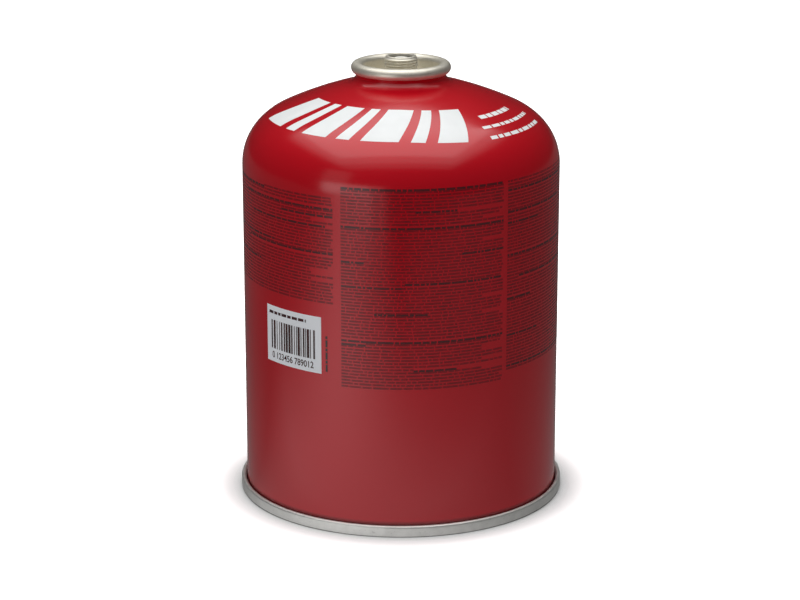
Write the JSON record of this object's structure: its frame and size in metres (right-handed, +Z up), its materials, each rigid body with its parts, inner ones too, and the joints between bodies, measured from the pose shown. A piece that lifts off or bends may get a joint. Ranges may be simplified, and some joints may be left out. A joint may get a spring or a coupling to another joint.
{
  "type": "fuel canister",
  "caption": "Red lacquered steel gas canister with a domed shoulder, a double-seamed base and a threaded self-sealing valve in a curled metal cup.",
  "frame": {"origin": "centre of the foot of the seam, on the surface the canister stands on", "axes": "+Z up along the canister's axis towards the valve, -Y towards the printed front"},
  "size_m": [0.1108, 0.1108, 0.1503],
  "materials": {
    "red_lacquer": "glossy deep red lacquer over bright metal",
    "tinplate": "bright tinplate with a fine rolled grain",
    "bright_tinplate": "bright drawn tinplate with a warm tone",
    "black_rubber": "matte black",
    "pale_acetal": "smooth off-white",
    "white_ink": "satin white print",
    "black_ink": "satin dark print"
  },
  "bodies": {
    "root": {"can_body": "red_lacquer", "bottom_end": "tinplate", "valve_cup": "bright_tinplate", "valve_seal": "black_rubber", "valve_stem": "pale_acetal"}
  },
  "joints": []
}
